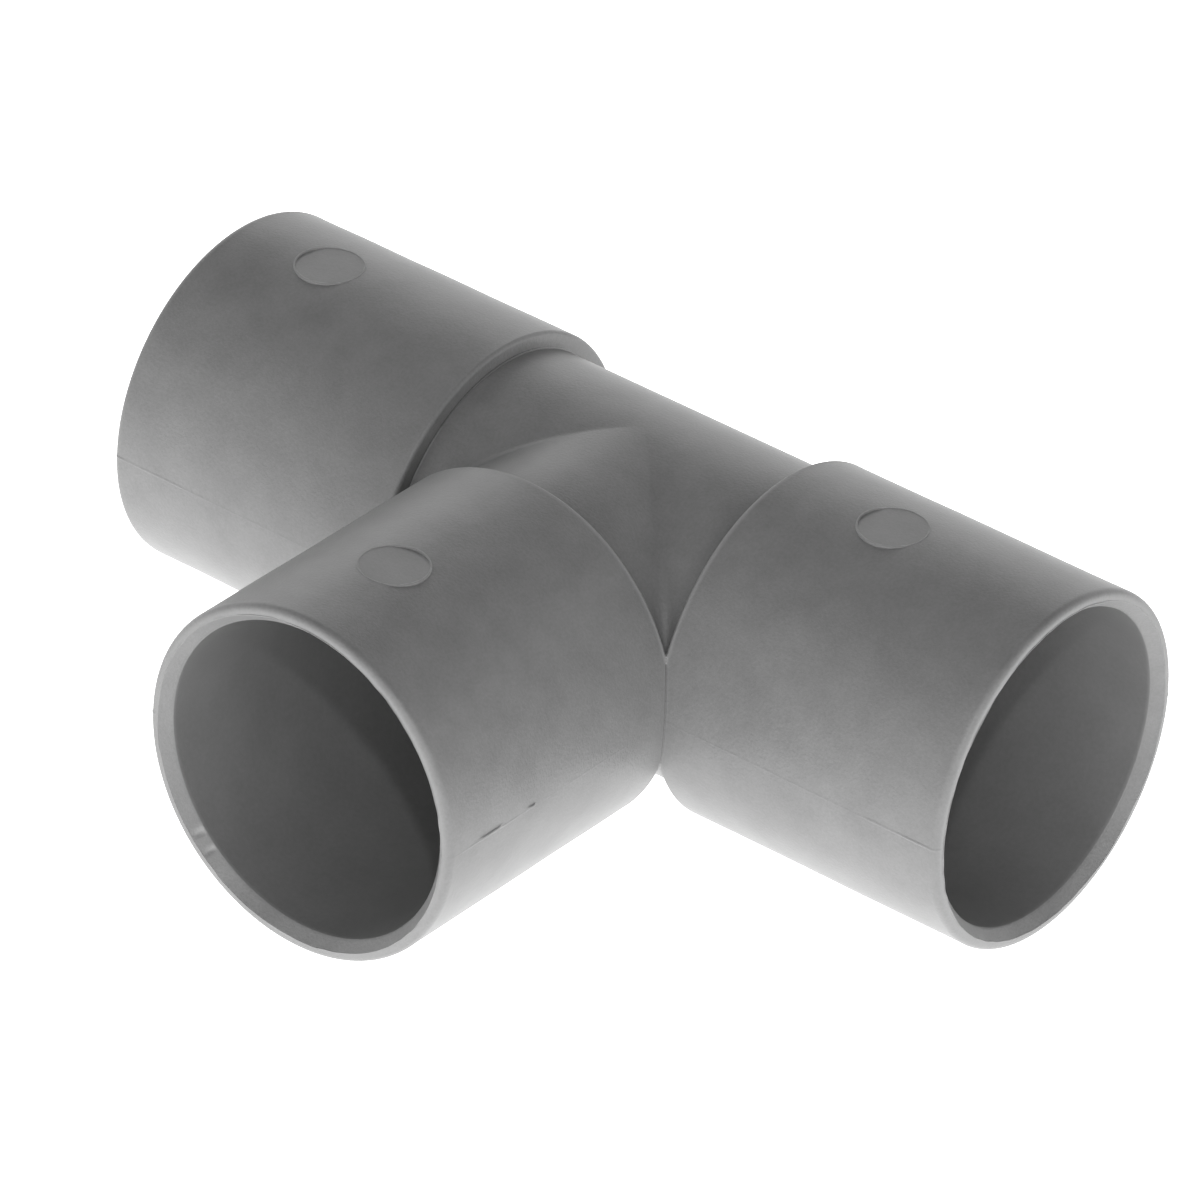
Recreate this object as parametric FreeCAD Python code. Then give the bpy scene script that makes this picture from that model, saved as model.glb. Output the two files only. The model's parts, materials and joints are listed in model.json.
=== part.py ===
import FreeCAD, Part
import math
import os

# Equal 90 degree tee with three plain sockets for cemented pipe. Millimetres.
# The run lies along X, the branch leaves along -Y, and +Z is up. The origin is the point
# where the three centre lines cross.

# Driving dimensions
PIPE_OUTER_D = 21.5         # the pipe that the sockets take
SOCKET_GAP = 0.05           # radial room between the pipe and the socket's wall
SOCKET_WALL = 1.35          # wall of the sockets
RUN_SOCKET_DEPTH = 21.35    # how far a pipe goes into a run socket, from mouth to stop
BRANCH_SOCKET_DEPTH = 20.95 # the same in the branch socket
SHOULDER_STEP = 1.15        # how far a socket stands out from the barrel, radially
SHOULDER_BACK = 0.85        # a shoulder lies this far inside the socket's outer radius
STOP_THICKNESS = 1.0        # from a shoulder's outer face to the pipe stop inside
BARREL_WALL = 1.65          # wall of the barrel and the neck round the waterway
RIM_ROUND = 0.68            # outer round at a socket's mouth
LEAD_IN = 0.66              # width of the cone inside the mouth, measured radially
LEAD_IN_ANGLE = 42.0        # degrees between the cone and the centre line
SHOULDER_ROUND = 0.25       # round on a shoulder's outer edge
FLASH_HEIGHT = 0.10         # the mould's parting line stands this proud
FLASH_HALF_FOOT = 0.20      # and its foot is this far from the parting plane
DISC_D = 4.70               # marking pins
DISC_SINK = 0.08            # a disc's flat face lies this far below the socket's crown
DISC_RIDGE_WIDTH = 0.15     # thin ridge round a disc's edge
DISC_RIDGE_HEIGHT = 0.05    # and how far it stands out of the socket's round
DISC_DEPTH = 0.55           # depth of a disc's seat below the crown
DISC_INSET_LEFT = 7.6       # from the left run socket's mouth to its disc's centre
DISC_INSET_RIGHT = 13.75    # from the right run socket's mouth to its disc's centre
DISC_INSET_BRANCH = 8.65    # from the branch socket's mouth to its disc's centre
CUT_MARGIN = 5.0            # how far a cutting solid runs past what it cuts

# Worked out from them
BORE_R = PIPE_OUTER_D / 2 + SOCKET_GAP
SOCKET_R = BORE_R + SOCKET_WALL
BARREL_R = SOCKET_R - SHOULDER_STEP
WATERWAY_R = BARREL_R - BARREL_WALL
SHOULDER = SOCKET_R - SHOULDER_BACK
STOP = SHOULDER + STOP_THICKNESS
RUN_REACH = STOP + RUN_SOCKET_DEPTH
BRANCH_REACH = STOP + BRANCH_SOCKET_DEPTH
DISC_PLACE_LEFT = RUN_REACH - DISC_INSET_LEFT
DISC_PLACE_RIGHT = RUN_REACH - DISC_INSET_RIGHT
DISC_PLACE_BRANCH = BRANCH_REACH - DISC_INSET_BRANCH
LEAD_IN_DEPTH = LEAD_IN / math.tan(math.radians(LEAD_IN_ANGLE))

ORIGIN = FreeCAD.Vector(0, 0, 0)
UP = FreeCAD.Vector(0, 0, 1)
RUN_LEFT = FreeCAD.Vector(-1, 0, 0)
RUN_RIGHT = FreeCAD.Vector(1, 0, 0)
BRANCH = FreeCAD.Vector(0, -1, 0)


def turned(shape, direction):
    """The shape, made along +X, turned about Z until its +X points along direction."""
    angle = math.degrees(math.atan2(direction.y, direction.x))
    made = shape.copy()
    made.rotate(ORIGIN, UP, angle)
    return made


def branch_side():
    """The space between the two mitre planes, y < -|x|, which belongs to the branch."""
    reach = max(RUN_REACH, BRANCH_REACH) + CUT_MARGIN
    corners = [
        ORIGIN,
        FreeCAD.Vector(-reach, -reach, 0),
        FreeCAD.Vector(reach, -reach, 0),
        ORIGIN,
    ]
    face = Part.Face(Part.makePolygon(corners))
    face.translate(UP * -reach)
    return face.extrude(UP * (2 * reach))


def socket_profile(reach):
    """Half section of a socket in the XZ plane: shoulder, outside, rim, lead-in, bore, stop."""
    def at(x, r):
        return FreeCAD.Vector(x, 0, r)

    corner = math.sqrt(0.5)
    crest = SOCKET_R - RIM_ROUND
    cone_top = BORE_R + LEAD_IN
    rim = Part.Arc(
        at(reach - RIM_ROUND, SOCKET_R),
        at(reach - RIM_ROUND * (1 - corner), crest + RIM_ROUND * corner),
        at(reach, crest),
    )
    edge = Part.Arc(
        at(SHOULDER, SOCKET_R - SHOULDER_ROUND),
        at(SHOULDER + SHOULDER_ROUND * (1 - corner), SOCKET_R - SHOULDER_ROUND * (1 - corner)),
        at(SHOULDER + SHOULDER_ROUND, SOCKET_R),
    )
    lines = [
        (at(SHOULDER, WATERWAY_R), at(SHOULDER, SOCKET_R - SHOULDER_ROUND)),
        edge,
        (at(SHOULDER + SHOULDER_ROUND, SOCKET_R), at(reach - RIM_ROUND, SOCKET_R)),
        rim,
        (at(reach, crest), at(reach, cone_top)),
        (at(reach, cone_top), at(reach - LEAD_IN_DEPTH, BORE_R)),
        (at(reach - LEAD_IN_DEPTH, BORE_R), at(STOP, BORE_R)),
        (at(STOP, BORE_R), at(STOP, WATERWAY_R)),
        (at(STOP, WATERWAY_R), at(SHOULDER, WATERWAY_R)),
    ]
    edges = [Part.LineSegment(*x).toShape() if isinstance(x, tuple) else x.toShape() for x in lines]
    return Part.Face(Part.Wire(edges))


def flash(reach):
    """The two thin ridges that the mould's parting line leaves along a socket's sides."""
    start = SHOULDER + SHOULDER_ROUND
    length = reach - RIM_ROUND - start
    foot = SOCKET_R - FLASH_HEIGHT
    ridges = []
    for side in (-1, 1):
        section = [
            FreeCAD.Vector(start, side * foot, -FLASH_HALF_FOOT),
            FreeCAD.Vector(start, side * (SOCKET_R + FLASH_HEIGHT), 0),
            FreeCAD.Vector(start, side * foot, FLASH_HALF_FOOT),
        ]
        face = Part.Face(Part.makePolygon(section + section[:1]))
        ridges.append(face.extrude(FreeCAD.Vector(length, 0, 0)))
    return ridges


def disc_seat(place):
    """The round seat of a marking disc, from its floor up past the socket's crown."""
    floor = FreeCAD.Vector(place, 0, SOCKET_R - DISC_DEPTH)
    return Part.makeCylinder(DISC_D / 2, DISC_DEPTH + CUT_MARGIN, floor, UP)


def socket(direction, reach, disc_place):
    """A socket with its shoulder, rim, bore, pipe stop, parting line and the disc's seat."""
    body = socket_profile(reach).revolve(ORIGIN, RUN_RIGHT, 360)
    body = body.fuse(flash(reach)).removeSplitter()
    body = body.cut(disc_seat(disc_place))
    return turned(body, direction)


def run_socket(direction, disc_place):
    """A socket of the run, mitred where it meets the branch socket in the crotch."""
    return socket(direction, RUN_REACH, disc_place).cut(branch_side())


def branch_socket(disc_place):
    """The branch's socket, mitred where it meets both sockets of the run."""
    return socket(BRANCH, BRANCH_REACH, disc_place).common(branch_side())


def marking_disc(direction, place):
    """The flat disc that fills its seat, just under the crown, with the thin ridge at its edge."""
    floor = FreeCAD.Vector(place, 0, SOCKET_R - DISC_DEPTH)
    disc = Part.makeCylinder(DISC_D / 2, DISC_DEPTH - DISC_SINK, floor, UP)
    height = DISC_DEPTH + CUT_MARGIN
    ring = Part.makeCylinder(DISC_D / 2, height, floor, UP)
    ring = ring.cut(Part.makeCylinder(DISC_D / 2 - DISC_RIDGE_WIDTH, height, floor, UP))
    start = FreeCAD.Vector(place - DISC_D, 0, 0)
    skin = Part.makeCylinder(SOCKET_R + DISC_RIDGE_HEIGHT, 2 * DISC_D, start, RUN_RIGHT)
    return turned(disc.fuse(ring.common(skin)).removeSplitter(), direction)


def run_cylinder(radius):
    """A cylinder along the run, from shoulder to shoulder."""
    return Part.makeCylinder(radius, 2 * SHOULDER, RUN_LEFT * SHOULDER, RUN_RIGHT)


def branch_cylinder(radius):
    """A cylinder along the branch, from the centre to the branch's shoulder."""
    return Part.makeCylinder(radius, SHOULDER, ORIGIN, BRANCH)


def run_barrel():
    """The middle tube of the run, cut back to the two mitre planes where the branch leaves."""
    tube = run_cylinder(BARREL_R).cut(branch_side())
    return tube.cut(run_cylinder(WATERWAY_R)).cut(branch_cylinder(WATERWAY_R))


def branch_neck():
    """The branch's short tube, ahead of the two mitre planes."""
    tube = branch_cylinder(BARREL_R).common(branch_side())
    return tube.cut(run_cylinder(WATERWAY_R)).cut(branch_cylinder(WATERWAY_R))


def nodes():
    """Every node's name with its solid."""
    return {
        "run_barrel": run_barrel(),
        "branch_neck": branch_neck(),
        "run_socket_left": run_socket(RUN_LEFT, DISC_PLACE_LEFT),
        "run_socket_right": run_socket(RUN_RIGHT, DISC_PLACE_RIGHT),
        "branch_socket": branch_socket(DISC_PLACE_BRANCH),
        "marking_disc_left": marking_disc(RUN_LEFT, DISC_PLACE_LEFT),
        "marking_disc_right": marking_disc(RUN_RIGHT, DISC_PLACE_RIGHT),
        "marking_disc_branch": marking_disc(BRANCH, DISC_PLACE_BRANCH),
    }


os.makedirs("parts", exist_ok=True)
for name, shape in nodes().items():
    shape.exportStep("parts/" + name + ".step")
    print(name, shape.isValid(), len(shape.Solids), round(shape.Volume, 2), shape.BoundBox)
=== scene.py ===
import json
import math

import bmesh
import bpy
import numpy as np
from mathutils import Matrix, Vector


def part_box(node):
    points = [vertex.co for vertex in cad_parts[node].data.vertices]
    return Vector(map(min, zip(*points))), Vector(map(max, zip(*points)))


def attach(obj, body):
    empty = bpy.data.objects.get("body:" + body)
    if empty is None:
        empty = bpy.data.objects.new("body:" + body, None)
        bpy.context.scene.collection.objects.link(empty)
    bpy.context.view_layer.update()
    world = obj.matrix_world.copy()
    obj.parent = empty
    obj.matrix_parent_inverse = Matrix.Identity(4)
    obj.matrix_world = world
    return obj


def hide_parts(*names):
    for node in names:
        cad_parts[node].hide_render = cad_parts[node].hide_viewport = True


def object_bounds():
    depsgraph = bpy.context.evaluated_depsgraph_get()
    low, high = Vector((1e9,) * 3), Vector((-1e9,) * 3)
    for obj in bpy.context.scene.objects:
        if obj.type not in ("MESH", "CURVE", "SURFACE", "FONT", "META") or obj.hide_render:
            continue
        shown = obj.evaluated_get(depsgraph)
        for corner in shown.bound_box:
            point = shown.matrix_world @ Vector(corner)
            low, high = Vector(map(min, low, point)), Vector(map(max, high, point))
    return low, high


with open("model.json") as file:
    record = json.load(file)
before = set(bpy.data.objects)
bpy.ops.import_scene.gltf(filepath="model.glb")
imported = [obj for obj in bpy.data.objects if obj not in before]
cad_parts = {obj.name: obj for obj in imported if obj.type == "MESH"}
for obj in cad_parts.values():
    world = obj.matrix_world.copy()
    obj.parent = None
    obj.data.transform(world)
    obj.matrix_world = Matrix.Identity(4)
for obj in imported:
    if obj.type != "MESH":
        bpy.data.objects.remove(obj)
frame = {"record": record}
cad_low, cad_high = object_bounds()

# A grey PVC tee with three plain sockets. Sizes below are in millimetres, in the CAD's own
# frame: the run along X, the branch along -Y, +Z up, origin where the centre lines cross.
# Every skin is worked out from one rule, skin(), so pieces meet exactly where they divide.

MM = 0.001
UP = np.array([0.0, 0.0, 1.0])
ALONG_X = np.array([1.0, 0.0, 0.0])
ALONG_Y = np.array([0.0, 1.0, 0.0])


def corners(node):
    """A CAD node's lowest and highest corner, in millimetres."""
    low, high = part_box(node)
    return np.array(low) / MM, np.array(high) / MM


def middle(node):
    low, high = corners(node)
    return (low + high) / 2


# Sizes that the CAD frame gives
run_low, run_high = corners("run_socket_right")
SHOULDER = run_low[0]
SOCKET_R = run_high[2]
RUN_REACH = run_high[0]
BRANCH_REACH = -corners("branch_socket")[0][1]
BARREL_R = corners("run_barrel")[1][2]
BORE_R = frame["record"]["mounts"][1]["dims"]["r_mm"]
BORE_LENGTH = frame["record"]["mounts"][1]["dims"]["length_mm"]
STOP = frame["record"]["mounts"][1]["pos_m"][0] / -MM - BORE_LENGTH / 2
DISC_R = (corners("marking_disc_left")[1][0] - corners("marking_disc_left")[0][0]) / 2
FLASH_TOP = run_high[1] - SOCKET_R

# Sizes of the moulding's own fine shape
BARREL_WALL = 1.65
WATERWAY_R = BARREL_R - BARREL_WALL
MID_WALL_R = 10.2           # about halfway through the barrel's wall, out of sight
MID_SHOULDER_R = 11.4       # about halfway up a shoulder's face
RIM_ROUND = 0.67            # outer round at a mouth
RIM_FULL = 0.70             # 1 is a true quarter round, less is fuller
LEAD_IN = 0.64              # cone inside the mouth, measured radially
LEAD_IN_ANGLE = math.radians(42)
BORE_EDGE = 0.07            # round between the cone and the bore
CREST_BEAD = 0.05           # thin ring where the mould's cores close on the mouth
CREST_BEAD_HALF = 0.018     # half that ring's width near its top
CREST_RAGGED = 0.016        # how far that ring wanders
DENT_DEEP = 0.10            # small dents in the branch mouth's cone
BRANCH_DENTS = (-132.4, 0.25), (-139.2, 0.20)  # degrees from the crown, half width
BRANCH_NIBS = (24.9, 25.8), (28.2, 30.4)  # from and to: where its flash stands full height
NIB_TURN = 0.07             # how far those nibs lie above the parting line
SHADE_REACH = 0.11                # how far the painted shade reaches out of a sharp inner corner
CREASE_FILLET = 1.1         # hollow round where the neck runs into the barrel
ROOT_FILLET = 0.12          # hollow round at the foot of a shoulder
CROTCH_FILLET = 0.08        # hollow round between two neighbouring sockets
SHOULDER_ROUND = 0.28       # outer edge of a shoulder
LEFT_SHOULDER_ROUND = 0.30  # the left run socket's shoulder is softer
STOP_FILLET = 0.20
STOP_FACE_R = 10.0          # partway across the pipe stop
FLASH_HALF = 0.13           # half the width of the flash at its foot
FLASH_FAINT = 0.011         # how far it stands out along the barrel and by the shoulders
FLASH_AT_MOUTH = 0.050      # and near a mouth
FLASH_END = 0.6             # it fades out this far before a shoulder's face
HALVES_STEP = 0.007         # the upper mould half stands this far back at the parting line
SEAT_R = DISC_R - 0.13      # pocket under a marking disc
SEAT_DEPTH = 0.55
SHANK_GAP = 0.12            # between the pocket and the disc's shank
DISC_SINK = 0.08            # a disc's flat face under the crown
DISC_TILT = 0.014           # its face leans this much per millimetre
RIDGE_WIDTH = 0.15          # burr round a disc's edge
RIDGE_HEIGHT = 0.05
SINK_MARK = 0.01            # how deep the soft sink marks in a socket's wall are

# Wear and painted light on a surface: above 0 it is paler, partly rubbed wear and partly a
# painted highlight; below 0 it is darker, painted shade in an inner corner
SHOULDER_WEAR_AND_HIGHLIGHT = 1.0       # a shoulder's outer edge
LEFT_SHOULDER_WEAR_AND_HIGHLIGHT = 0.1  # the softer one is hardly paler
RIM_WEAR_AND_HIGHLIGHT = 0.8            # a mouth's round, at its crest
CREST_WEAR_AND_HIGHLIGHT = 1.0
RUBBED_CONE = 0.1
DENT_HIGHLIGHT = 1.4           # painted highlight on the dents, on top of the cone's wear
BORE_EDGE_WEAR_AND_HIGHLIGHT = 0.6
SHADED_ROOT = -0.8           # painted shade at the foot of a shoulder
SHADED_FACE = -0.1           # and just above it
BARREL_SHADE = 0.25          # how far the painted shade reaches along the barrel from a shoulder
NECK_SHADE = 0.7             # and along the neck

# How finely the meshes are made
SHARP_ANGLE = 38            # degrees over which an edge is drawn sharp
WELD = 0.002                # points this near each other become one
FAR = 1000.0


# ---- the outer skin, as distance and direction fields ----

def tube(points, axis, radius):
    """Distance outside a long cylinder about X or Y, and the way out."""
    away = points * (1 - axis)
    length = np.linalg.norm(away, axis=-1)
    return length - radius, away / np.maximum(length, 1e-9)[..., None]


def beyond(points, axis, place):
    """Distance short of a flat face that lies at place along an axis, and the way out."""
    return place - points @ axis, np.broadcast_to(-axis, points.shape)


def corner(first, second, edge):
    """What lies inside both of two square faces, their shared edge rounded."""
    u, v = first[0] + edge, second[0] + edge
    past_u, past_v = np.maximum(u, 0), np.maximum(v, 0)
    past = np.hypot(past_u, past_v)
    distance = np.minimum(np.maximum(u, v), 0) + past - edge
    on_edge = (past_u[..., None] * first[1] + past_v[..., None] * second[1])
    on_edge = on_edge / np.maximum(past, 1e-9)[..., None]
    on_face = np.where((u > v)[..., None], first[1], second[1])
    return distance, np.where((past > 1e-9)[..., None], on_edge, on_face)


def join(first, second, fillet):
    """Two shapes as one, with a rolling ball's hollow round of that radius between them."""
    cos = np.clip((first[1] * second[1]).sum(-1), -0.999, 0.999)
    u, v = first[0] - fillet, second[0] - fillet
    square = 1 - cos * cos
    share_u, share_v = (u - v * cos) / square, (v - u * cos) / square
    reach = np.sqrt(np.maximum(u * u + v * v - 2 * u * v * cos, 1e-12) / square)
    between = (share_u < 0) & (share_v < 0)
    hollow = -(share_u[..., None] * first[1] + share_v[..., None] * second[1]) / reach[..., None]
    nearer = np.where((first[0] < second[0])[..., None], first[1], second[1])
    distance = np.where(between, fillet - reach, np.minimum(first[0], second[0]))
    return distance, np.where(between[..., None], hollow, nearer)


def skin(points):
    """Distance outside the fitting's outer skin, mouths left out, and the way out."""
    half = points.copy()
    half[..., 0] = np.abs(points[..., 0])
    edge = np.where(points[..., 0] < -SHOULDER / 2, LEFT_SHOULDER_ROUND, SHOULDER_ROUND)
    barrel = tube(half, ALONG_X, BARREL_R)
    neck = tube(half, ALONG_Y, BARREL_R)
    neck = np.where(half[..., 1] > 0, FAR, neck[0]), neck[1]
    run = corner(tube(half, ALONG_X, SOCKET_R), beyond(half, ALONG_X, SHOULDER), edge)
    branch = beyond(half, -ALONG_Y, SHOULDER)
    branch = corner(tube(half, ALONG_Y, SOCKET_R), branch, SHOULDER_ROUND)
    core = join(barrel, neck, CREASE_FILLET)
    distance, way = join(join(run, branch, CROTCH_FILLET), core, ROOT_FILLET)
    way = way.copy()
    way[..., 0] *= np.where(points[..., 0] < 0, -1, 1)
    return distance, way


def out_to_skin(base, ray, guess):
    """How far along each ray from its base the skin lies."""
    reach = np.full(base.shape[:-1], float(guess))
    for _ in range(14):
        distance, way = skin(base + ray * reach[..., None])
        reach = reach - distance / np.maximum((way * ray).sum(-1), 0.3)
    return reach


# ---- small helpers ----

def ripple(values, seed, shortest, longest, count=7):
    """A smooth wandering line of about -1 to 1, the same each run."""
    chance = np.random.default_rng(seed)
    total = np.zeros_like(values)
    for _ in range(count):
        length = chance.uniform(shortest, longest)
        total += np.sin(2 * math.pi * (values / length + chance.uniform()))
    return total / math.sqrt(count)


def ring_ripple(turns, seed, fewest, most):
    """The same round a ring: a wandering line with whole numbers of waves."""
    chance = np.random.default_rng(seed)
    waves = range(fewest, most, max(1, (most - fewest) // 6))
    total = sum(np.sin(wave * turns + chance.uniform(0, 2 * math.pi)) for wave in waves)
    return total / math.sqrt(len(waves))


def steps(*stretches):
    """Places along a line: each stretch is (start, end, step), ends shared once."""
    places = np.concatenate([
        np.linspace(start, end, max(2, round((end - start) / step) + 1))
        for start, end, step in stretches
    ])
    return np.unique(np.round(places, 5))


def smooth_step(values, low, high):
    t = np.clip((values - low) / (high - low), 0, 1)
    return t * t * (3 - 2 * t)


def lattice(points, wrap_rows=True, keep=None):
    """Vertices and four-sided faces of a grid of points, its columns closed into rings."""
    rows, columns = points.shape[:2]
    index = np.arange(rows * columns).reshape(rows, columns)
    down = np.roll(index, -1, 0)
    right = np.roll(index, -1, 1)
    both = np.roll(down, -1, 1)
    faces = np.stack([index, right, both, down], -1)
    faces = faces[:rows if wrap_rows else rows - 1]
    if keep is not None:
        faces = faces[keep]
    return points.reshape(-1, 3), faces.reshape(-1, 4)


def piece(name, points, faces, materials, material_index=None, wear_and_painted_light=None, border=None):
    """A mesh piece, smooth but for its true edges. Border faces are skin along a division:
    there the corners on the division take the skin's own direction, so no seam shows."""
    mesh = bpy.data.meshes.new(name)
    mesh.from_pydata((points * MM).tolist(), [], faces.tolist())
    for material in materials:
        mesh.materials.append(material)
    if material_index is not None:
        mesh.polygons.foreach_set("material_index", material_index.astype(np.int32))
    if wear_and_painted_light is not None:
        mesh.attributes.new("wear_and_painted_light", "FLOAT", "POINT").data.foreach_set("value", wear_and_painted_light.ravel())
    if border is not None:
        on_line, on_skin = border
        mesh.attributes.new("on_line", "FLOAT", "POINT").data.foreach_set(
            "value", on_line.astype(np.float32))
        mesh.attributes.new("on_skin", "FLOAT", "FACE").data.foreach_set(
            "value", on_skin.astype(np.float32))
    tidy = bmesh.new()
    tidy.from_mesh(mesh)
    bmesh.ops.remove_doubles(tidy, verts=tidy.verts, dist=WELD * MM)
    bmesh.ops.recalc_face_normals(tidy, faces=tidy.faces)
    tidy.to_mesh(mesh)
    tidy.free()
    mesh.polygons.foreach_set("use_smooth", np.ones(len(mesh.polygons), bool))
    mesh.set_sharp_from_angle(angle=math.radians(SHARP_ANGLE))
    if border is not None:
        use_skin_normals(mesh)
    made = bpy.data.objects.new(name, mesh)
    bpy.context.scene.collection.objects.link(made)
    return made


def use_skin_normals(mesh):
    """Gives the marked corners the skin's own direction and drops the marks."""
    corner_vertex = np.empty(len(mesh.loops), np.int32)
    mesh.loops.foreach_get("vertex_index", corner_vertex)
    face_size = np.empty(len(mesh.polygons), np.int32)
    mesh.polygons.foreach_get("loop_total", face_size)
    on_line = np.empty(len(mesh.vertices), np.float32)
    mesh.attributes["on_line"].data.foreach_get("value", on_line)
    on_skin = np.empty(len(mesh.polygons), np.float32)
    mesh.attributes["on_skin"].data.foreach_get("value", on_skin)
    places = np.empty(len(mesh.vertices) * 3, np.float32)
    mesh.vertices.foreach_get("co", places)
    ways = skin(places.reshape(-1, 3).astype(float) / MM)[1][corner_vertex]
    marked = (on_line[corner_vertex] > 0.5) & (np.repeat(on_skin, face_size) > 0.5)
    mesh.normals_split_custom_set((ways * marked[:, None]).tolist())
    for mark in ("on_line", "on_skin"):
        mesh.attributes.remove(mesh.attributes[mark])


# ---- the moulding's pieces ----

def angle_columns():
    """Angles round a centre line, 0 at the crown, close together at discs, joins and flash."""
    half = steps((0, 13.5, 0.3), (13.5, 66, 1.5), (66, 74, 0.25), (74, 87, 1.0),
                 (87, 89, 0.5), (89, 91, 0.125), (91, 93, 0.5), (93, 106, 1.0),
                 (106, 114, 0.25), (114, 126, 1.5), (126, 144, 0.5), (144, 180, 1.5))
    return np.radians(np.concatenate([-half[-2:0:-1], half]))


ANGLES = angle_columns()
ARC_FROM_FLASH = (np.abs(ANGLES) - math.pi / 2) * SOCKET_R


def flash_lift(along, seed, mouth=0.0):
    """The thin ridge where the mould halves meet, worn almost flat away from the mouth, and
    the upper half's small set-back."""
    right = 0.5 + 0.3 * ripple(along, seed, 2, 9) + 0.12 * ripple(along, seed + 1, 0.5, 1.2)
    left = 0.5 + 0.3 * ripple(along, seed + 2, 2, 9) + 0.12 * ripple(along, seed + 3, 0.5, 1.2)
    height = FLASH_FAINT
    if mouth:
        near_mouth = 1 - smooth_step(mouth - along, 2, 9)
        height = FLASH_FAINT + (FLASH_AT_MOUTH - FLASH_FAINT) * near_mouth
    height = height * np.clip(np.where(ANGLES > 0, right, left), 0.15, 1)
    ridge = 1 - smooth_step(np.abs(ARC_FROM_FLASH), 0.02, FLASH_HALF)
    upper = 1 - smooth_step(ARC_FROM_FLASH, -0.03, 0.03)
    set_back = HALVES_STEP * upper * np.abs(np.sin(ANGLES)) ** 4
    return height * ridge - set_back


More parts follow.
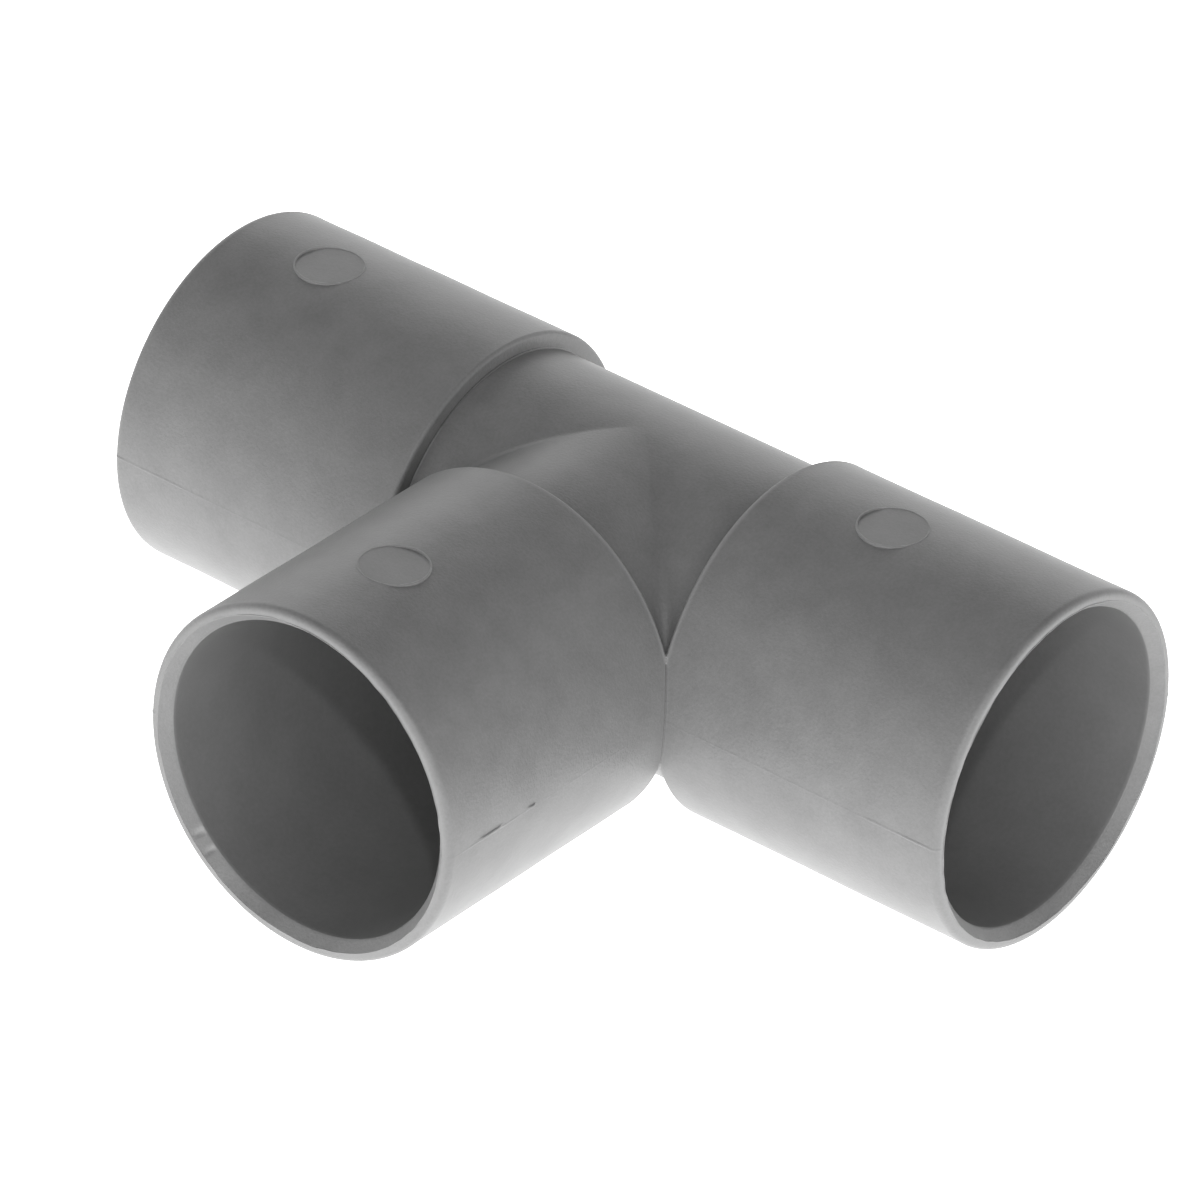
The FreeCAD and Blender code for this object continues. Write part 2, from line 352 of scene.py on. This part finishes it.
def socket(name, axis, side, mouth, disc_place, edge, mitred, seed, nibs=(), dents=()):
    """One socket: shoulder, outer wall, rounded mouth, lead-in cone, bore and pipe stop."""
    out = np.sin(ANGLES)[:, None] * side + np.cos(ANGLES)[:, None] * UP
    share = np.abs(np.sin(ANGLES)) if mitred == "both" else np.maximum(0, -np.sin(ANGLES))
    slant = out + share[:, None] * axis
    corner_r = out_to_skin(np.zeros_like(slant), slant, SOCKET_R)
    corner_point = corner_r[:, None] * slant
    first = SHOULDER + edge
    start = np.maximum(first, corner_r * share)
    edge_wear_and_highlight = LEFT_SHOULDER_WEAR_AND_HIGHLIGHT if edge > SHOULDER_ROUND else SHOULDER_WEAR_AND_HIGHLIGHT
    face_end = mouth - CREST_BEAD

    def ring(along, radius):
        along, radius = np.broadcast_arrays(along, radius)
        return along[..., None] * axis + radius[..., None] * out

    # the shoulder's face, from the waterway outwards
    rows = []
    wear_and_painted_light = []
    # the foot of the shoulder's face, and just above it, get painted shade
    for radius, painted_light_and_wear in ((WATERWAY_R, 0), (MID_WALL_R, 0), (BARREL_R, SHADED_ROOT),
                         (BARREL_R + SHADE_REACH, SHADED_FACE), (MID_SHOULDER_R, 0),
                         (SOCKET_R - edge, 0)):
        rows.append(ring(np.maximum(SHOULDER, radius * share), radius))
        wear_and_painted_light.append(painted_light_and_wear)
    last_face = len(rows) - 1

    # its rounded edge, cut off where the neighbouring socket begins
    for turn in np.radians(np.linspace(0, 90, 9))[1:-1]:
        centre = ring(np.full(len(ANGLES), first), SOCKET_R - edge)
        ray = -math.cos(turn) * axis + math.sin(turn) * out
        points = centre + out_to_skin(centre, ray, edge)[:, None] * ray
        cut = points @ axis < (points * out).sum(-1) * share
        rows.append(np.where(cut[:, None], corner_point, points))
        # the edge is paler, rubbed wear and a painted highlight; points cut off into the crotch
        # get full painted shade
        wear_and_painted_light.append(np.where(cut, -1, edge_wear_and_highlight))

    # the outer wall
    wall_end = face_end - RIM_ROUND
    disc_from, disc_to = disc_place - DISC_R - 0.2, disc_place + DISC_R + 0.2
    places = steps((first, first + 0.2, 0.04), (first + 0.2, first + 0.8, 0.1),
                   (first + 0.8, first + 2, 0.3), (first + 2, disc_from, 0.8),
                   (disc_from, disc_to, 0.1), (disc_to, wall_end - 0.5, 0.3),
                   (wall_end - 0.5, wall_end, 0.1))
    shares = (places - first) / (wall_end - first)
    along = start + shares[:, None] * (wall_end - start)
    base = along[..., None] * axis
    radius = out_to_skin(base, np.broadcast_to(out, base.shape), SOCKET_R)
    lift = flash_lift(along, seed, face_end)
    for nib_from, nib_to in nibs:
        from_nib = np.abs(ARC_FROM_FLASH + NIB_TURN)
        nib = (1 - smooth_step(from_nib, 0.05, 0.17)) * (ANGLES > 0)
        nib = nib * smooth_step(along, nib_from, nib_from + 0.2)
        nib = nib * (1 - smooth_step(along, nib_to - 0.5, nib_to))
        lift = np.maximum(lift, FLASH_TOP * nib)
    sink = 1 + ripple(along + 3 * np.sin(ANGLES), seed + 5, 6, 15)
    lift = lift - SINK_MARK * np.clip(sink, 0, 2)
    wall = base + (radius + np.minimum(lift, FLASH_TOP))[..., None] * out
    from_disc = np.hypot(wall @ axis - disc_place, wall @ side)
    on_top = np.abs(ANGLES) < 1
    seat = (1 - smooth_step(from_disc, SEAT_R - 0.1, SEAT_R)) * on_top
    wall[..., 2] -= seat * (wall[..., 2] - (SOCKET_R - SEAT_DEPTH))
    rows.extend(wall)
    # the wall next to the shoulder's edge starts as pale as the edge: rubbed wear and a painted
    # highlight
    wall_wear_and_highlight = np.interp(places, [first, first + 0.2], [edge_wear_and_highlight, 0])
    # where the wall meets the neighbouring socket it gets painted shade instead
    painted_shade = 1 - smooth_step(along - corner_r * share, 0, SHADE_REACH)
    painted_shade = painted_shade * (corner_r * share > first)
    wear_and_painted_light.extend(np.where(painted_shade > 0, -painted_shade, wall_wear_and_highlight[:, None]))

    # the mouth's round, and the thin ring on its crest
    crest_outer = SOCKET_R - RIM_ROUND
    crest_inner = BORE_R + LEAD_IN
    rim_lift = flash_lift(np.full(len(ANGLES), wall_end), seed, face_end)
    for turn in np.radians(np.linspace(0, 90, 13))[1:]:
        forward = math.sin(turn) ** RIM_FULL
        outward = math.cos(turn) ** RIM_FULL if turn < 1.5 else 0
        rows.append(ring(face_end - RIM_ROUND * (1 - forward) + rim_lift * forward * outward,
                         crest_outer + (RIM_ROUND + rim_lift) * outward))
        # paler towards the crest: rubbed wear and a painted highlight
        wear_and_painted_light.append(RIM_WEAR_AND_HIGHLIGHT * math.sin(turn) ** 12)
    bead = CREST_BEAD * np.clip(0.6 + 0.4 * ring_ripple(ANGLES, seed + 7, 3, 17), 0.1, 1)
    ragged = CREST_RAGGED * ring_ripple(ANGLES, seed + 9, 13, 61)
    middle_r = (crest_outer + crest_inner) / 2
    for height, radius in ((0.85, middle_r + CREST_BEAD_HALF), (1, middle_r),
                           (0.85, middle_r - CREST_BEAD_HALF), (0, crest_inner)):
        rows.append(ring(face_end + bead * height, radius + ragged))
        # the crest ring is pale: rubbed wear and a painted highlight
        wear_and_painted_light.append(CREST_WEAR_AND_HIGHLIGHT)

    # the lead-in cone
    cone_depth = LEAD_IN / math.tan(LEAD_IN_ANGLE)
    dented = np.zeros(len(ANGLES))
    for place, width in dents:
        from_dent = (np.degrees(ANGLES) - place) * math.radians(crest_inner) / width
        dented = np.maximum(dented, np.exp(-from_dent ** 2))
    for portion in (0.06, 0.2, 0.35, 0.5, 0.65, 0.8, 0.92):
        depth = DENT_DEEP * dented * math.sin(math.pi * portion)
        rows.append(ring(face_end - cone_depth * portion - depth,
                         crest_inner - LEAD_IN * portion + depth
                         + ragged * (1 - portion) ** 2))
        # the cone is a little paler from rubbing; its dents much paler, a painted highlight
        wear_and_painted_light.append(RUBBED_CONE + DENT_HIGHLIGHT * dented)

    # the bore, the pipe stop and the waterway
    bore_start = len(rows)
    for turn in np.radians((8, 24, 40)):
        rows.append(ring(face_end - cone_depth - BORE_EDGE * math.sin(turn),
                         BORE_R + BORE_EDGE * (1 - math.cos(turn - LEAD_IN_ANGLE))))
        # the bore's edge is paler: rubbed wear and a painted highlight
        wear_and_painted_light.append(BORE_EDGE_WEAR_AND_HIGHLIGHT)
    for along in np.linspace(face_end - cone_depth - 0.3, STOP + STOP_FILLET, 12):
        rows.append(ring(along, BORE_R))
        wear_and_painted_light.append(0.0)
    for turn in np.radians((22.5, 45, 67.5, 90)):
        rows.append(ring(STOP + STOP_FILLET * (1 - math.sin(turn)),
                         BORE_R - STOP_FILLET * (1 - math.cos(turn))))
        wear_and_painted_light.append(0.0)
    for along, radius in ((STOP, STOP_FACE_R), (STOP, WATERWAY_R + 0.12),
                          (STOP - 0.04, WATERWAY_R + 0.03), (STOP - 0.12, WATERWAY_R),
                          ((STOP + SHOULDER) / 2, WATERWAY_R)):
        rows.append(ring(along, radius))
        wear_and_painted_light.append(0.0)

    points, faces = lattice(np.array(rows))
    count = len(ANGLES)
    inner = np.repeat(np.arange(len(rows)) >= bore_start, count)
    first_skin = np.zeros((len(rows), count), bool)
    first_skin[last_face:last_face + 10] = True
    on_corner = np.linalg.norm(np.array(rows) - corner_point, axis=-1) < WELD
    return piece(name, points, faces, (moulded_skin, polished_core), inner,
                 np.array([np.broadcast_to(row, count) for row in wear_and_painted_light], float),
                 (on_corner.ravel(), first_skin.ravel()))


SHARES = np.array([0, 0.01, 0.02, 0.03, 0.045, 0.06, 0.08, 0.1, 0.13, 0.17, 0.22, 0.3, 0.4, 0.5,
                   0.6, 0.7, 0.78, 0.84, 0.88, 0.91, 0.935, 0.955, 0.97, 0.98, 0.99, 1])


def centre_grid(axis, side, mitred, back_flash=False):
    """Rows of the barrel or neck from the dividing planes out to a socket's shoulder, the
    outer skin going out and then the waterway coming back."""
    out = np.sin(ANGLES)[:, None] * side + np.cos(ANGLES)[:, None] * UP
    share = np.abs(np.sin(ANGLES)) if mitred == "both" else np.maximum(0, -np.sin(ANGLES))
    rest = 1 - SHARES[:, None]
    base = (SHARES[:, None] * SHOULDER)[..., None] * axis * np.ones((len(ANGLES), 1))
    ray = out + (rest * share)[..., None] * axis
    reach = out_to_skin(base, ray, BARREL_R)
    reach = np.clip(reach, BARREL_R - 1, SHOULDER / np.maximum(share, SHOULDER / SOCKET_R))
    outer = base + reach[..., None] * ray
    if back_flash:
        lift = flash_lift(SHARES[:, None] * SHOULDER + 0 * ANGLES, 31) * (np.sin(ANGLES) > 0)
        fade = smooth_step(SHOULDER - outer @ axis, 0, FLASH_END)
        outer = outer + (lift * fade)[..., None] * out
    inner = base + WATERWAY_R * ray
    return np.concatenate([outer, inner[::-5]])  # a plain bore needs every fifth row only


def run_barrel():
    """The run's middle: two halves that share the plane across the centre, the branch's
    opening cut away along the dividing planes."""
    grids = [centre_grid(way, ALONG_Y, "one", back_flash=True) for way in (ALONG_X, -ALONG_X)]
    rows, count = grids[0].shape[:2]
    branch_side = np.sin(ANGLES) < -1e-9
    keep = np.ones((rows, count), bool)
    keep[-1] = branch_side | np.roll(branch_side, -1)
    halves = [lattice(grid, keep=keep) for grid in grids]
    points = np.concatenate([half[0] for half in halves])
    faces = np.concatenate([halves[0][1], halves[1][1] + len(halves[0][0])])
    on_line, on_skin = division(rows, count)
    border = np.tile(on_line.ravel(), 2), np.tile(on_skin[keep], 2)
    return piece("run_barrel_moulding", points, faces, (moulded_skin,), None,
                 np.tile(centre_painted_shade(rows, count, BARREL_SHADE), (2, 1)), border)


def branch_neck():
    grid = centre_grid(-ALONG_Y, ALONG_X, "both")
    points, faces = lattice(grid)
    on_line, on_skin = division(*grid.shape[:2])
    return piece("branch_neck_moulding", points, faces, (moulded_skin,), None,
                 centre_painted_shade(*grid.shape[:2], NECK_SHADE), (on_line.ravel(), on_skin.ravel()))


def centre_painted_shade(rows, count, reach):
    """Painted shade in the corner where the barrel or neck meets a shoulder."""
    wear_and_painted_light = np.zeros((rows, count))
    wear_and_painted_light[:len(SHARES)] = smooth_step((1 - SHARES[:, None]) * SHOULDER, 0, reach) - 1
    return wear_and_painted_light


def division(rows, count):
    """Which vertices of a barrel or neck lie on a division, and which faces are skin."""
    on_line = np.zeros((rows, count), bool)
    on_line[[0, len(SHARES) - 1]] = True
    on_skin = np.zeros((rows, count), bool)
    on_skin[:len(SHARES) - 1] = True
    return on_line, on_skin


def marking_disc(name, axis, side, place, tilt, seed):
    """A flat round insert in a socket's crown, with the burr that is left round its edge."""
    turns = np.radians(np.arange(0, 360, 2.5))
    burr = RIDGE_HEIGHT * np.clip(0.75 + 0.35 * ring_ripple(turns, seed, 1, 19), 0.2, 1)
    inner = DISC_R - RIDGE_WIDTH
    shank = SEAT_R - SHANK_GAP

    def row(radius, height, seated=False):
        along, across = radius * np.cos(turns), radius * np.sin(turns)
        flat = SOCKET_R - DISC_SINK + tilt * along
        crown = np.sqrt(SOCKET_R ** 2 - across ** 2)
        top = flat + 0 * turns
        if radius >= inner + 0.01:
            top = np.maximum(flat, crown)
        level = crown - 0.1 if seated else top + height
        return ((place + along)[:, None] * axis + across[:, None] * side
                + level[:, None] * UP)

    rows = [row(radius, 0) for radius in (0, 0.6, 1.2, 1.7, 2.0, inner - 0.06, inner)]
    for radius, portion in ((inner + 0.025, 0.6), (inner + 0.05, 0.95), (inner + 0.075, 1),
                            (inner + 0.1, 0.95), (inner + 0.125, 0.7), (DISC_R, 0.2)):
        rows.append(row(radius, burr * portion))
    ridge_end = len(rows)
    rows.append(row(DISC_R, 0, seated=True))
    for radius, level in ((shank, SOCKET_R - DISC_SINK - 0.3), (shank, SOCKET_R - SEAT_DEPTH),
                          (0, SOCKET_R - SEAT_DEPTH)):
        under = row(radius, 0)
        under[:, 2] = level
        rows.append(under)
    # the burr's rows get value 1: paler, rubbed wear and a painted highlight along the ridge
    on_ridge = np.zeros(len(rows))
    on_ridge[ridge_end - 6:ridge_end] = 1
    points, faces = lattice(np.array(rows), wrap_rows=False)
    return piece(name, points, faces, (disc_finish,), None, np.repeat(on_ridge, len(turns)))


# ---- finishes ----

def linear(colour):
    """An sRGB hex colour as the linear values that the shaders take."""
    parts = [int(colour[place:place + 2], 16) / 255 for place in (1, 3, 5)]
    return [part / 12.92 if part <= 0.04045 else ((part + 0.055) / 1.055) ** 2.4
            for part in parts] + [1.0]


def node(tree, kind, inputs=None, **settings):
    """Adds one shader node: settings are its own fields, inputs are values or links."""
    made = tree.nodes.new("ShaderNode" + kind)
    for field, value in settings.items():
        setattr(made, field, value)
    for place, value in (inputs or {}).items():
        if isinstance(value, bpy.types.NodeSocket):
            tree.links.new(value, made.inputs[place])
        else:
            made.inputs[place].default_value = value
    return made


def finish_of(name):
    material = bpy.data.materials.new(name)
    material.use_nodes = True
    tree = material.node_tree
    tree.nodes.clear()
    spot = node(tree, "TexCoord").outputs["Object"]
    spot = node(tree, "VectorMath", {0: spot, "Scale": 1 / MM}, operation="SCALE").outputs[0]
    return material, tree, spot


PALE_WEAR_AND_HIGHLIGHT, WEAR_AND_HIGHLIGHT_SHARE = "#b4b4b4", 0.25  # paler on edges: partly rubbed PVC, partly a painted highlight
SHADE_COLOUR, SHADE_SHARE = "#3a3a3a", 0.65    # and painted shade darkens the inner corners
SCUFF_ROUGH = 0.15                      # rubbed PVC is duller, too
GRAIN_ROUGH = 0.12                      # how much the grain varies the gloss
GRAIN_TONE, CLOUD_TONE, TONE_START = 1.1, 0.5, -0.30  # shares of the grain and the clouds
PVC_IOR = 1.53


def pvc(name, dark, light, roughness, grain_mm, grain_deep, flow_mm):
    """Rigid grey PVC. Injection moulding leaves the tool's own texture on it: a fine satin
    grain, and faint clouds where the melt flowed and cooled. The real grain is about 0.05 mm,
    too fine to show, so it is drawn at grain_mm."""
    material, tree, spot = finish_of(name)
    flow = node(tree, "TexNoise", {"Vector": spot, "Scale": 1 / flow_mm, "Detail": 3.0,
                                   "Roughness": 0.55}).outputs["Fac"]
    grain = node(tree, "TexNoise", {"Vector": spot, "Scale": 1 / grain_mm, "Detail": 2.0,
                                    "Roughness": 0.6}).outputs["Fac"]
    clouds = node(tree, "MapRange", {"Value": flow, "From Min": 0.3, "From Max": 0.7})
    painted_light_and_wear = node(tree, "Attribute", attribute_name="wear_and_painted_light").outputs["Fac"]
    tone = node(tree, "Math", {0: grain, 1: GRAIN_TONE, 2: TONE_START},
                operation="MULTIPLY_ADD")
    tone = node(tree, "Math", {0: clouds.outputs[0], 1: CLOUD_TONE, 2: tone.outputs[0]},
                operation="MULTIPLY_ADD")
    colour = node(tree, "Mix", {0: tone.outputs[0], 6: linear(dark), 7: linear(light)},
                  data_type="RGBA", clamp_factor=True)
    # above 0 the colour turns pale: partly rubbed wear, partly a painted highlight
    wear_and_highlight = node(tree, "Math", {0: painted_light_and_wear, 1: WEAR_AND_HIGHLIGHT_SHARE}, operation="MULTIPLY")
    colour = node(tree, "Mix", {0: wear_and_highlight.outputs[0], 6: colour.outputs[2],
                                7: linear(PALE_WEAR_AND_HIGHLIGHT)}, data_type="RGBA", clamp_factor=True)
    # below 0 the colour turns dark: painted shade in inner corners
    shaded = node(tree, "Math", {0: painted_light_and_wear, 1: -SHADE_SHARE}, operation="MULTIPLY")
    colour = node(tree, "Mix", {0: shaded.outputs[0], 6: colour.outputs[2],
                                7: linear(SHADE_COLOUR)}, data_type="RGBA", clamp_factor=True)
    satin = node(tree, "Math", {0: grain, 1: GRAIN_ROUGH, 2: roughness - GRAIN_ROUGH / 2},
                 operation="MULTIPLY_ADD")
    satin = node(tree, "Math", {0: painted_light_and_wear, 1: SCUFF_ROUGH, 2: satin.outputs[0]},
                 operation="MULTIPLY_ADD")
    bump = node(tree, "Bump", {"Height": grain, "Distance": grain_deep * MM, "Strength": 1.0})
    shader = node(tree, "BsdfPrincipled", {
        "Base Color": colour.outputs[2], "Roughness": satin.outputs[0], "IOR": PVC_IOR,
        "Normal": bump.outputs[0]})
    node(tree, "OutputMaterial", {"Surface": shader.outputs[0]})
    return material


# The cavity's satin steel leaves a soft sheen, with clouds of a few millimetres.
moulded_skin = pvc("moulded_upvc_skin", "#717171", "#818181", roughness=0.43,
                   grain_mm=0.20, grain_deep=0.022, flow_mm=2.6)
# A polished core leaves a smoother, more even bore.
polished_core = pvc("cored_upvc_bore", "#727272", "#7d7d7d", roughness=0.42,
                    grain_mm=0.30, grain_deep=0.008, flow_mm=4.0)
# A flat pin's end leaves a disc's face flatter and a little paler than the wall round it.
disc_finish = pvc("pressed_upvc_disc", "#747474", "#808080", roughness=0.42,
                  grain_mm=0.20, grain_deep=0.010, flow_mm=2.0)


# ---- making the pieces ----

left_mouth = -corners("run_socket_left")[0][0]
made = {
    "run_socket_left": socket("run_socket_left_moulding", -ALONG_X, ALONG_Y, left_mouth,
                              -middle("marking_disc_left")[0], LEFT_SHOULDER_ROUND, "one", 11),
    "run_socket_right": socket("run_socket_right_moulding", ALONG_X, ALONG_Y, RUN_REACH,
                               middle("marking_disc_right")[0], SHOULDER_ROUND, "one", 23),
    "branch_socket": socket("branch_socket_moulding", -ALONG_Y, ALONG_X, BRANCH_REACH,
                            -middle("marking_disc_branch")[1], SHOULDER_ROUND, "both", 37,
                            nibs=BRANCH_NIBS, dents=BRANCH_DENTS),
    "run_barrel": run_barrel(),
    "branch_neck": branch_neck(),
    "marking_disc_left": marking_disc("left_disc", -ALONG_X, ALONG_Y,
                                      -middle("marking_disc_left")[0], -DISC_TILT, 41),
    "marking_disc_right": marking_disc("right_disc", ALONG_X, ALONG_Y,
                                       middle("marking_disc_right")[0], DISC_TILT, 43),
    "marking_disc_branch": marking_disc("branch_disc", -ALONG_Y, ALONG_X,
                                        -middle("marking_disc_branch")[1], DISC_TILT, 47),
}
for replaced, made_piece in made.items():
    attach(made_piece, "root")
    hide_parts(replaced)


# ---- floor, light and camera ----

FLOOR_R = 4.0
GLOW_NEAR, GLOW_FAR = 2.15, 1.15    # a lit white table, brightest under the object
GLOW_FADE = (0.06, 0.30)            # metres from its middle
WALLS_AHEAD = 2.30                  # white walls in front and behind
WALL_LEFT, WALL_RIGHT = 0.90, 0.55  # and greyer ones at the sides
ROOF = 0.08
WALL_TOP = (24, 50)                 # degrees over which the walls give way to the dark roof

# A small lamp just above the camera. Its place is given from the branch's mouth, whose edge
# throws the dark crescent into the bore.
LAMP_AZIMUTH, LAMP_ELEVATION = (math.radians(turn) for turn in (40.8, 41.2))
LAMP_DISTANCE = 650
LAMP_POWER, LAMP_SIZE = 0.60, 0.020  # watts, metres
LAMP_SHINE = 0.3                     # it shows less in the gloss than a bare lamp would

AZIMUTH, ELEVATION, ROLL = (math.radians(turn) for turn in (37.357, 32.762, 3.077))
DISTANCE = 666.9
LENS, SENSOR = 313.49, 36
NEAREST, FARTHEST = 0.01, 50        # metres
AIM = Vector((-1.088, -2.120, -1.570))

floor_mesh = bpy.data.meshes.new("pale_floor")
floor_turns = np.radians(np.arange(0, 360, 3))
floor_points = [(0, 0, cad_low[2])] + [
    (FLOOR_R * math.cos(turn), FLOOR_R * math.sin(turn), cad_low[2]) for turn in floor_turns]
floor_count = len(floor_turns)
floor_mesh.from_pydata(floor_points, [], [
    (0, 1 + place, 1 + (place + 1) % floor_count) for place in range(floor_count)])
floor = bpy.data.objects.new("pale_floor", floor_mesh)
bpy.context.scene.collection.objects.link(floor)
lit_table = bpy.data.materials.new("lit_white_table")
lit_table.use_nodes = True
table = lit_table.node_tree
table.nodes.clear()
spot = node(table, "TexCoord").outputs["Object"]
far = node(table, "VectorMath", {0: spot}, operation="LENGTH").outputs["Value"]
level = node(table, "MapRange", {
    "Value": far, "From Min": GLOW_FADE[0], "From Max": GLOW_FADE[1], "To Min": GLOW_NEAR,
    "To Max": GLOW_FAR}, interpolation_type="SMOOTHSTEP").outputs[0]
glow = node(table, "Emission", {"Color": linear("#ffffff"), "Strength": level})
node(table, "OutputMaterial", {"Surface": glow.outputs[0]})
floor_mesh.materials.append(lit_table)

world = bpy.data.worlds.new("soft_tent")
bpy.context.scene.world = world
world.use_nodes = True
tent = world.node_tree
tent.nodes.clear()
way = node(tent, "TexCoord").outputs["Generated"]
height = node(tent, "SeparateXYZ", {0: way}).outputs["Z"]
flat = node(tent, "VectorMath", {0: way, 1: (1, 1, 0)}, operation="MULTIPLY").outputs[0]
flat = node(tent, "VectorMath", {0: flat}, operation="NORMALIZE").outputs[0]
ahead = (math.sin(AZIMUTH), -math.cos(AZIMUTH), 0)
aside = (math.cos(AZIMUTH), math.sin(AZIMUTH), 0)
ahead = node(tent, "VectorMath", {0: flat, 1: ahead}, operation="DOT_PRODUCT").outputs["Value"]
ahead = node(tent, "Math", {0: ahead, 1: ahead}, operation="MULTIPLY").outputs[0]
aside = node(tent, "VectorMath", {0: flat, 1: aside}, operation="DOT_PRODUCT").outputs["Value"]
aside = node(tent, "MapRange", {"Value": aside, "From Min": -1.0, "To Min": WALL_LEFT,
                                "To Max": WALL_RIGHT}).outputs[0]
walls = node(tent, "Mix", {0: ahead, 2: aside, 3: WALLS_AHEAD}).outputs[0]
low, high = (math.sin(math.radians(turn)) for turn in WALL_TOP)
share = node(tent, "MapRange", {"Value": height, "From Min": low, "From Max": high,
                                "To Min": 1.0, "To Max": 0.0},
             interpolation_type="SMOOTHSTEP").outputs[0]
level = node(tent, "Math", {0: walls, 1: share, 2: ROOF}, operation="MULTIPLY_ADD").outputs[0]
light = node(tent, "Background", {"Strength": level})
node(tent, "OutputWorld", {"Surface": light.outputs[0]})


def away_from_centre(azimuth, elevation):
    """The way out from the origin, azimuth from the branch's side towards +X."""
    return Vector((math.cos(elevation) * math.sin(azimuth),
                   -math.cos(elevation) * math.cos(azimuth), math.sin(elevation)))


lamp_data = bpy.data.lights.new("small_lamp", "AREA")
lamp_data.shape = "DISK"
lamp_data.size = LAMP_SIZE
lamp_data.energy = LAMP_POWER
lamp_data.specular_factor = LAMP_SHINE
lamp = bpy.data.objects.new("small_lamp", lamp_data)
lamp_way = away_from_centre(LAMP_AZIMUTH, LAMP_ELEVATION)
branch_mouth = Vector((0, -BRANCH_REACH, 0))
lamp.matrix_world = (Matrix.Translation((branch_mouth + LAMP_DISTANCE * lamp_way) * MM)
                     @ lamp_way.to_track_quat("Z", "Y").to_matrix().to_4x4())
bpy.context.scene.collection.objects.link(lamp)

back = away_from_centre(AZIMUTH, ELEVATION)
lens = bpy.data.cameras.new("camera")
lens.lens = LENS
lens.sensor_width = SENSOR
lens.clip_start, lens.clip_end = NEAREST, FARTHEST
camera = bpy.data.objects.new("camera", lens)
camera.matrix_world = (Matrix.Translation((AIM + DISTANCE * back) * MM)
                       @ back.to_track_quat("Z", "Y").to_matrix().to_4x4()
                       @ Matrix.Rotation(ROLL, 4, "Z"))
bpy.context.scene.collection.objects.link(camera)
bpy.context.scene.camera = camera
bpy.context.scene.view_settings.view_transform = "Standard"
